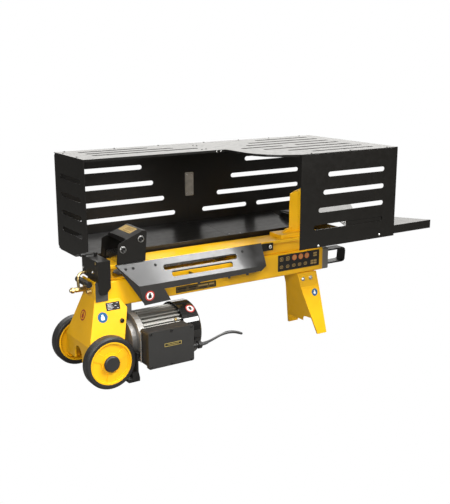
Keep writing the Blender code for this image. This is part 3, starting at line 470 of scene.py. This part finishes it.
def cord_tie():
    """A strap round the coil's turns, on the side of the coil towards the beam."""
    tie = Build("cord_tie", "frame", "rubber", DULL_BLACK)
    flat = TIE_HALF - 0.0009
    around = [(-flat, TIE_LOW), (flat, TIE_LOW), (TIE_HALF, TIE_LOW + TIE_CORNER),
              (TIE_HALF, TIE_HIGH - TIE_CORNER), (flat, TIE_HIGH), (-flat, TIE_HIGH),
              (-TIE_HALF, TIE_HIGH - TIE_CORNER), (-TIE_HALF, TIE_LOW + TIE_CORNER)]
    count, thicker = len(around), 1.12
    half = TIE_WIDE / 2
    rings = [[tie.work.verts.new(at(COIL_AT[0] + along, COIL_AT[1] - COIL_R + across * grow, level))
              for across, level in around]
             for along, grow in ((-half, 1.0), (-half, thicker), (half, thicker), (half, 1.0))]
    for one, two in zip(rings, rings[1:] + rings[:1]):
        tie.faces([(one[i], one[(i + 1) % count], two[(i + 1) % count], two[i]) for i in range(count)], 0)
    return tie.done()


def supply_lead():
    path = lead_path()
    sheath = bpy.data.curves.new("supply_cord", "CURVE")
    sheath.dimensions = "3D"
    sheath.bevel_depth = CORD_R
    sheath.bevel_resolution = 4
    sheath.use_fill_caps = True
    spline = sheath.splines.new("POLY")
    spline.points.add(len(path) - 1)
    for point, place in zip(spline.points, path):
        point.co = (*place, 1)
    sheath.materials.append(LEAD_SHEATH)
    lead = bpy.data.objects.new("supply_cord", sheath)
    bpy.context.scene.collection.objects.link(lead)
    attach(lead, "frame")
    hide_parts("cord", "cord_coil")

    relief = strain_relief(path)
    plug = mains_plug()
    tied = cord_tie()


# ---- labels -------------------------------------------------------------------------------
LABEL = 0.00018     # how thick a label is
PRINT = 0.4         # how thick what is printed on it is, as a share of that


def round_label(name, spot, radius, rim, field, mark):
    """A disc with a rim, a field and one plain mark."""
    made = Build(name, "frame", "black_plastic", rim, field, mark)
    face = Patch(spot)
    lift = face.normal * LABEL
    made.plate(face.disc(0, 0, radius), lift, 0)
    face.place = face.place + lift
    made.plate(face.disc(0, 0, radius * 0.72), lift * 0.5, 1)
    face.place = face.place + lift * 0.5
    made.plate(face.disc(0, radius * 0.34, radius * 0.22, 16), lift * PRINT, 2)
    made.plate(face.bar(0, -radius * 0.16, radius * 0.74, radius * 0.70, radius * 0.16), lift * PRINT, 2)
    made.done()


def wrapped_label():
    """The round label on the motor's cover, which follows the cover's curve."""
    low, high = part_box("fan_cover")
    radius_of_cover = (high.z - low.z) / 2
    centre = (low + high) / 2
    made = Build("cover_label", "frame", "black_plastic", INK_RED, INK_WHITE, INK_BLACK)
    spot_x, spot_angle = at(0.2713, 0, 0).x, math.radians(123.2)

    def bent(radius, level, index, inner, squeeze=1.0):
        rows = []
        steps, count = 5, 28
        for ring in range(steps + 1):
            r = inner + (radius - inner) * ring / steps
            row = []
            for i in range(count):
                t = 2 * math.pi * i / count
                across, around = r * math.cos(t) * squeeze, r * math.sin(t)
                angle = spot_angle - around / radius_of_cover
                reach = radius_of_cover + level
                row.append(made.work.verts.new((spot_x + across, centre.y + reach * math.cos(angle),
                                                centre.z + reach * math.sin(angle))))
            rows.append(row)
        loops = []
        for one, two in zip(rows, rows[1:]):
            loops += [(one[i], one[(i + 1) % count], two[(i + 1) % count], two[i]) for i in range(count)]
        made.faces(loops, index, True)

    bent(0.0140, 0.00016, 0, 0.0102)
    bent(0.0104, 0.00014, 1, 0.0002)
    bent(0.0070, 0.00026, 2, 0.0002, squeeze=0.75)
    thing = made.done()
    thick = thing.modifiers.new("thick", "SOLIDIFY")
    thick.thickness = 0.0001


def beam_panel():
    """The wide panel on the beam's side, with rows of plain marks."""
    face = Patch(front("beam_tank", 0.7145, 0.250))
    lift = face.normal * LABEL
    panel = Build("beam_panel", "frame", "black_plastic", INK_BLACK, INK_TAN, INK_ORANGE)
    panel.plate(face.bar(0, 0, 0.169, 0.0535, 0.002), lift)
    face.place = face.place + lift
    low = lift * PRINT
    over = Patch((face.place + low, face.normal))
    top = Patch((face.place + low * 2, face.normal))
    upper, lower = 0.0125, -0.0130
    for a in (-0.0705, -0.0455):
        panel.plate(face.bar(a, upper, 0.0135, 0.0135, 0.003), low, 1)
        panel.plate(over.bar(a, upper, 0.0095, 0.0095, 0.002), low, 0)
        panel.plate(top.bar(a, upper, 0.0040, 0.0070, 0.001), low, 1)
    for a in (-0.0185, 0.0075, 0.0325):
        panel.plate(face.disc(a, upper, 0.0092), low, 2)
        panel.plate(over.disc(a, upper, 0.0052, 18), low, 1)
        panel.plate(top.bar(a, upper, 0.0024, 0.0074, 0.001), low, 2)
    for b in (0.0165, 0.0085):
        panel.plate(face.bar(0.0670, b, 0.0150, 0.0055, 0.001), low, 1)
    for a in (-0.0705, -0.0455, -0.0205, 0.0030, 0.0270):
        panel.plate(face.bar(a, lower, 0.0130, 0.0100, 0.0042), low, 1)
        panel.plate(over.bar(a, lower, 0.0090, 0.0062, 0.0025), low, 0)
        panel.plate(top.disc(a, lower, 0.0018, 10), low, 1)
    for b in (-0.0085, -0.0165):
        for a in (0.0545, 0.0680):
            panel.plate(face.bar(a, b, 0.0115, 0.0060, 0.001), low, 1)
    panel.done()


def beam_strip():
    """The narrow strip lower on the beam, with plain lines."""
    face = Patch(front("beam_tank", 0.3255, 0.2222))
    lift = face.normal * LABEL
    strip = Build("beam_strip", "frame", "black_plastic", INK_BLACK, INK_BROWN, INK_TAN)
    strip.plate(face.bar(0, 0, 0.140, 0.0190, 0.0015), lift)
    face.place = face.place + lift
    strip.plate(face.bar(0, 0, 0.134, 0.0150, 0.0010), lift * PRINT, 1)
    face.place = face.place + lift * PRINT
    for a, wide, ink in ((-0.049, 0.030, 0), (-0.013, 0.028, 0), (0.024, 0.034, 2), (0.054, 0.018, 2)):
        strip.plate(face.bar(a, 0.0020, wide, 0.0045, 0.0008), lift * PRINT, ink)
        strip.plate(face.bar(a, -0.0040, wide * 0.8, 0.0028, 0.0008), lift * PRINT, 0)
    strip.done()


def rating_label():
    """The small plate on the left leg, with plain lines."""
    face = Patch(front("left_leg", 0.0455, 0.2125))
    lift = face.normal * LABEL
    rating = Build("rating_label", "frame", "black_plastic", INK_BLACK, INK_WHITE)
    rating.plate(face.bar(0, 0, 0.0425, 0.0225, 0.0010), lift)
    face.place = face.place + lift
    lines = (
        (0.0075, ((-0.008, 0.018), (0.013, 0.006))),
        (0.0038, ((-0.010, 0.012),)),
        (0.0005, ((-0.009, 0.015), (0.008, 0.006))),
        (-0.0032, ((-0.007, 0.020),)),
        (-0.0072, ((-0.010, 0.014), (0.014, 0.005))),
    )
    for b, parts in lines:
        for a, wide in parts:
            rating.plate(face.bar(a, b, wide, 0.0011, 0.0003), lift * PRINT, 1)
    rating.done()


def lid_plate():
    """The blank name plate on the motor's terminal box."""
    face = Patch(front("terminal_lid", 0.1655, 0.1160))
    lift = face.normal * LABEL
    plate = Build("lid_plate", "frame", "black_plastic", GOLD_FOIL, INK_BLACK)
    plate.plate(face.bar(0, 0, 0.0545, 0.0100, 0.0008), lift)
    face.place = face.place + lift
    plate.plate(face.bar(0, 0, 0.0505, 0.0064, 0.0006), lift * 0.5, 1)
    face.place = face.place + lift * 0.5
    plate.plate(face.bar(0.0, 0, 0.0360, 0.0016, 0.0005), lift * PRINT, 0)
    plate.done()


def pusher_label():
    """The label on top of the pusher, with plain rows."""
    spot = above("pusher_hood", 0.128, 0.012)
    face = Patch(spot, up=Vector((0, 1, 0)))
    lift = face.normal * LABEL
    top = Build("pusher_label", "pusher", "black_plastic", INK_TAN, INK_BROWN)
    top.plate(face.bar(0, 0, 0.0270, 0.0740, 0.0015), lift)
    face.place = face.place + lift
    for b in (-0.0290, -0.0215, -0.0140, -0.0065, 0.0010, 0.0085):
        top.plate(face.bar(0.0035, b, 0.0150, 0.0032, 0.0006), lift * PRINT, 1)
        top.plate(face.bar(-0.0090, b, 0.0040, 0.0044, 0.0006), lift * PRINT, 1)
    top.done()


def labels():
    beam_panel()
    beam_strip()
    rating_label()
    lid_plate()
    pusher_label()
    yellow = FINISH["yellow_paint"]
    round_label("leg_red_label", leftward("left_leg", 0.0062, 0.1828), 0.0160, INK_RED, yellow, INK_RED)
    round_label("leg_blue_label", front("left_leg", 0.0093, 0.1873), 0.0150, INK_BLUE, INK_BLUE, INK_WHITE)
    round_label("apron_label", front("front_wing", 0.1459, 0.2345), 0.0148, INK_RED, INK_WHITE, INK_BLACK)
    round_label("right_leg_label", front("right_leg", 0.7775, 0.1347), 0.0122, INK_BLUE, INK_BLUE, INK_WHITE)
    wrapped_label()


# ---- fasteners ----------------------------------------------------------------------------
def cage_screws():
    zinc = Build("cage_screws", "frame", "steel", FINISH["steel"], SOCKET_DARK)
    for x, z in ((0.650, 0.341), (0.896, 0.347)):
        screw(zinc, front("cage_front", x, z), 0.0042, recess=1)
    plate_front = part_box("back_joint_plate")[0].y
    for x, z in ((0.453, 0.456), (0.472, 0.456), (0.453, 0.518), (0.472, 0.518)):
        screw(zinc, (Vector((at(x, 0, z).x, plate_front, z)), Vector((0, -1, 0))), 0.0030, recess=1)
    for x, y in ((0.512, 0.066), (0.553, 0.066)):
        screw(zinc, above("rear_tray_right", x, y), 0.0032, recess=1)
    for y, z in ((0.0405, 0.3121), (-0.0230, 0.3115)):
        screw(zinc, leftward("lever_guard", y, z), 0.0042, recess=1)
    screw(zinc, front("wing_bracket", 0.588, 0.3145), 0.0062, recess=1)
    screw(zinc, above("outfeed_table", 0.853, -0.095), 0.0045, recess=1)
    zinc.done()


def leg_bolts():
    """Two bolts through the right leg, with a head on each side."""
    bolts = Build("leg_bolts", "frame", "steel", FINISH["steel"])
    for x, z in ((0.7318, 0.185), (0.7631, 0.186)):
        hex_bolt(bolts, front("right_leg", x, z), 0.0052)
        hex_bolt(bolts, surface("right_leg", at(x, 0.40, z), (0, -1, 0)), 0.0052)
    bolts.done(0.0003)


def dark_screws():
    """Blackened screws of the cage, the leg and the lid, and flat near-black discs along the wing painted as
    the shade of holes.
    """
    dark = Build("cage_dark_screws", "frame", "steel", SOCKET_DARK, PAINTED_HOLE_SHADE)
    for x in (0.033, 0.195, 0.348):
        screw(dark, above("cage_top_left", x, 0.226), 0.0026)
    for x in (0.517, 0.654, 0.780, 0.913):
        screw(dark, above("cage_top_right", x, 0.226), 0.0026)
    for x, y in ((0.010, 0.181), (0.010, 0.081), (0.436, 0.159), (0.443, 0.148), (0.423, 0.0585),
                 (0.405, 0.054)):
        screw(dark, above("cage_top_left", x, y), 0.0024)
    for x in (0.62, 0.77, 0.92):
        screw(dark, above("cage_top_right", x, -0.206), 0.0024)
    screw(dark, front("left_leg", 0.0655, 0.170), 0.0068, 0.0050)
    # flat discs on the wing painted with the shade of holes; no hole is cut in the wing
    shade_disc = [(-SUNK, 0), (-SUNK, 0.0042), (0.0003, 0.0042), (0.0003, 0)]
    for x in (0.085, 0.1086, 0.1787, 0.4796):
        place, axis = front("front_wing", x, 0.3147)
        dark.turned(place, axis, shade_disc, 20, 1)
    low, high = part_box("terminal_lid")
    from_side, from_edge = 0.0080, 0.0050
    for across in (low.x + from_side, (low.x + high.x) / 2, high.x - from_side):
        for level in (low.z + from_edge, high.z - from_edge):
            spot = surface("terminal_lid", Vector((across, low.y - 0.1, level)), (0, 1, 0))
            screw(dark, spot, 0.0040, 0.0020)
    dark.done()


def box_stay():
    """A slim rod between the motor's end and its terminal box."""
    stay = Build("box_stay", "frame", "steel", FINISH["steel"])
    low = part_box("terminal_box")[0]
    foot = Vector((low.x - 0.0035, low.y + 0.030, low.z + 0.006))
    stay.turned(foot, UP, [(0, 0), (0, 0.0026), (0.088, 0.0026), (0.088, 0)], 16)
    stay.done()


def seam_screws():
    seam = Build("seam_screws", "frame", "steel", FINISH["steel"], SOCKET_DARK)
    for x in (0.4360, 0.4500):
        screw(seam, front("cage_top_left", x, 0.6150), 0.0022, recess=1)
    seam.done()


def gold_fittings():
    gold = Build("gold_fittings", "frame", "brass", FINISH["brass"])
    screw(gold, front("motor_housing", 0.216, 0.158), 0.0048, 0.0030)
    place, axis = leftward("lever_guard", -0.0424, 0.3401)
    eyelet = [(-SUNK, 0), (-SUNK, 0.0042), (0.0012, 0.0042), (0.0016, 0.0034), (0.0008, 0.0022), (0.0008, 0)]
    gold.turned(place, axis, eyelet, 18)
    gold.done()


def pusher_bolts():
    """Two socket bolts in their washers on each side of the pusher."""
    washer = [(-SUNK, 0), (-SUNK, 0.0098), (0.0018, 0.0098), (0.0026, 0.0090), (0.0026, 0.0074),
              (0.0008, 0.0070), (0.0008, 0)]
    socket = [(0.0006, 0), (0.0006, 0.0068), (0.0042, 0.0068), (0.0052, 0.0058), (0.0052, 0.0034),
              (0.0024, 0.0032), (0.0024, 0)]
    sides = Build("pusher_bolts", "pusher", "steel", FINISH["steel"], SOCKET_DARK)
    for x, z in ((0.0794, 0.3713), (0.1355, 0.3958)):
        for start, direction in ((-0.40, 1), (0.40, -1)):
            place, axis = surface("pusher_hood", at(x, start, z), (0, direction, 0))
            sides.turned(place, axis, washer, 28)
            sides.turned(place, axis, socket, 24, 1)
    sides.done()


def apron_tabs():
    """Small tabs under the wing's lower edge."""
    tabs = Build("apron_tabs", "frame", "black_plastic", SATIN_BLACK)
    front_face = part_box("front_wing")[0].y + 0.0012
    shape = ((-0.0045, -0.0048), (0.0030, -0.0048), (0.0045, -0.0030), (0.0045, 0.0040), (-0.0045, 0.0040))
    for x in (0.4159, 0.4831, 0.3100):
        centre = Vector((at(x, 0, 0).x, front_face, 0.2490))
        tabs.plate([centre + Vector((a, 0, b)) for a, b in shape], Vector((0, 0.0022, 0)))
    tabs.done(0.0004)


def fasteners():
    cage_screws()
    leg_bolts()
    dark_screws()
    box_stay()
    seam_screws()
    gold_fittings()
    pusher_bolts()
    apron_tabs()


# ---- room and light -----------------------------------------------------------------------
AMBIENT, BACK_WALL = 0.12, 2.3
WALL_TOWARD, WALL_EDGE, WALL_FULL = Vector((0.50, 0.80, 0.30)), 0.62, 0.93
FLOOR_REACH = 9.0
# name, place, aimed at, width and height, watts
LIGHTS = (
    ("key_softbox", (-1.30, -1.35, 0.95), (-0.40, 0.0, 0.15), (0.7, 0.7), 24),
    ("wing_softbox", (0.66, -1.20, 1.18), (-0.12, -0.13, 0.28), (0.42, 0.50), 14),
    ("front_softbox", (0.20, -1.70, 2.30), (0.10, 0.0, 0.20), (1.2, 0.7), 60),
    ("top_softbox", (-0.10, -0.30, 2.40), (0.0, 0.0, 0.30), (1.6, 1.0), 30),
)


def floor():
    """A ground that the camera sees as white and that throws back little light."""
    sheet = bmesh.new()
    reach = FLOOR_REACH
    corners = [(-reach, -reach), (reach, -reach), (reach, reach), (-reach, reach)]
    sheet.faces.new([sheet.verts.new((x, y, 0)) for x, y in corners])
    data = bpy.data.meshes.new("floor")
    sheet.to_mesh(data)
    sheet.free()
    ground = bpy.data.objects.new("floor", data)
    bpy.context.scene.collection.objects.link(ground)
    pale = bpy.data.materials.new("pale_floor")
    pale.use_nodes = True
    tree = pale.node_tree
    tree.nodes.clear()
    out = tree.nodes.new("ShaderNodeOutputMaterial")
    mix = tree.nodes.new("ShaderNodeMixShader")
    seen = tree.nodes.new("ShaderNodeEmission")
    seen.inputs["Strength"].default_value = 1.0
    seen.inputs["Color"].default_value = (1, 1, 1, 1)
    dull = tree.nodes.new("ShaderNodeBsdfDiffuse")
    dull.inputs["Color"].default_value = (0.20, 0.195, 0.185, 1)
    ray = tree.nodes.new("ShaderNodeLightPath")
    tree.links.new(ray.outputs["Is Camera Ray"], mix.inputs["Fac"])
    tree.links.new(dull.outputs["BSDF"], mix.inputs[1])
    tree.links.new(seen.outputs["Emission"], mix.inputs[2])
    tree.links.new(mix.outputs["Shader"], out.inputs["Surface"])
    data.materials.append(pale)


def surroundings():
    """White to the camera, dim to everything else, apart from a bright wall behind and to the right."""
    world = bpy.data.worlds.new("studio")
    bpy.context.scene.world = world
    world.use_nodes = True
    tree = world.node_tree
    tree.nodes.clear()
    link = tree.links.new
    out = tree.nodes.new("ShaderNodeOutputWorld")
    place = tree.nodes.new("ShaderNodeTexCoord")
    toward = tree.nodes.new("ShaderNodeVectorMath")
    toward.operation = "DOT_PRODUCT"
    toward.inputs[1].default_value = WALL_TOWARD.normalized()
    link(place.outputs["Generated"], toward.inputs[0])
    wall = tree.nodes.new("ShaderNodeMapRange")
    wall.interpolation_type = "SMOOTHSTEP"
    spans = (("From Min", WALL_EDGE), ("From Max", WALL_FULL), ("To Min", AMBIENT), ("To Max", BACK_WALL))
    for key, number in spans:
        wall.inputs[key].default_value = number
    link(toward.outputs["Value"], wall.inputs["Value"])
    light = tree.nodes.new("ShaderNodeBackground")
    light.inputs["Color"].default_value = (1.0, 0.985, 0.955, 1)
    link(wall.outputs["Result"], light.inputs["Strength"])
    white = tree.nodes.new("ShaderNodeBackground")
    white.inputs["Color"].default_value = (1, 1, 1, 1)
    ray = tree.nodes.new("ShaderNodeLightPath")
    mix = tree.nodes.new("ShaderNodeMixShader")
    link(ray.outputs["Is Camera Ray"], mix.inputs["Fac"])
    link(light.outputs["Background"], mix.inputs[1])
    link(white.outputs["Background"], mix.inputs[2])
    link(mix.outputs["Shader"], out.inputs["Surface"])


def lamps():
    for name, spot, aim, size, power in LIGHTS:
        lamp = bpy.data.lights.new(name, "AREA")
        lamp.shape = "RECTANGLE"
        lamp.size, lamp.size_y = size
        lamp.energy = power
        thing = bpy.data.objects.new(name, lamp)
        thing.location = spot
        thing.rotation_euler = (Vector(aim) - Vector(spot)).to_track_quat("-Z", "Y").to_euler()
        thing.visible_camera = False
        bpy.context.scene.collection.objects.link(thing)


def room():
    view = bpy.context.scene.view_settings
    view.view_transform = "Standard"
    view.look = "None"
    view.exposure = 0.0
    floor()
    surroundings()
    lamps()


camera()
supply_lead()
dress_nodes()
labels()
fasteners()
room()
